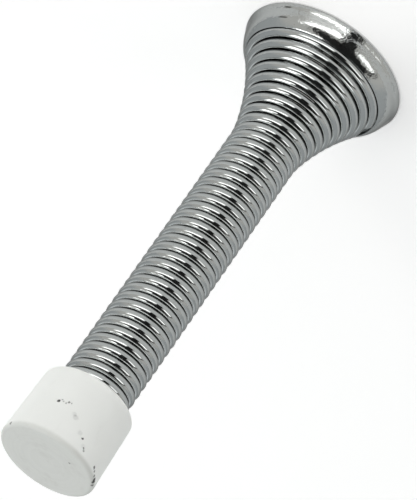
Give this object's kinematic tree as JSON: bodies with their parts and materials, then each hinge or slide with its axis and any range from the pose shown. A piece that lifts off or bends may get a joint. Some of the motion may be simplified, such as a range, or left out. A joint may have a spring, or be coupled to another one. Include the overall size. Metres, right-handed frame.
{
  "type": "spring door stop",
  "caption": "Wall door stop: a close-wound chromed coil that flares into a pressed round base with a screw hole, and a white tapered cap on its free end.",
  "frame": {"origin": "centre of the base's rim, on the wall plane", "axes": "+Z along the coil's axis, away from the wall towards the cap; the wire starts on the -X side"},
  "size_m": [0.025, 0.025, 0.0757],
  "materials": {
    "plated_wire": "bright plated wire",
    "plated_sheet": "bright plated pressed steel",
    "white_cap": "white, matt, moulded"
  },
  "bodies": {
    "root": {"coil_spring": "plated_wire", "base_cup": "plated_sheet", "tip_cap": "white_cap"}
  },
  "joints": []
}
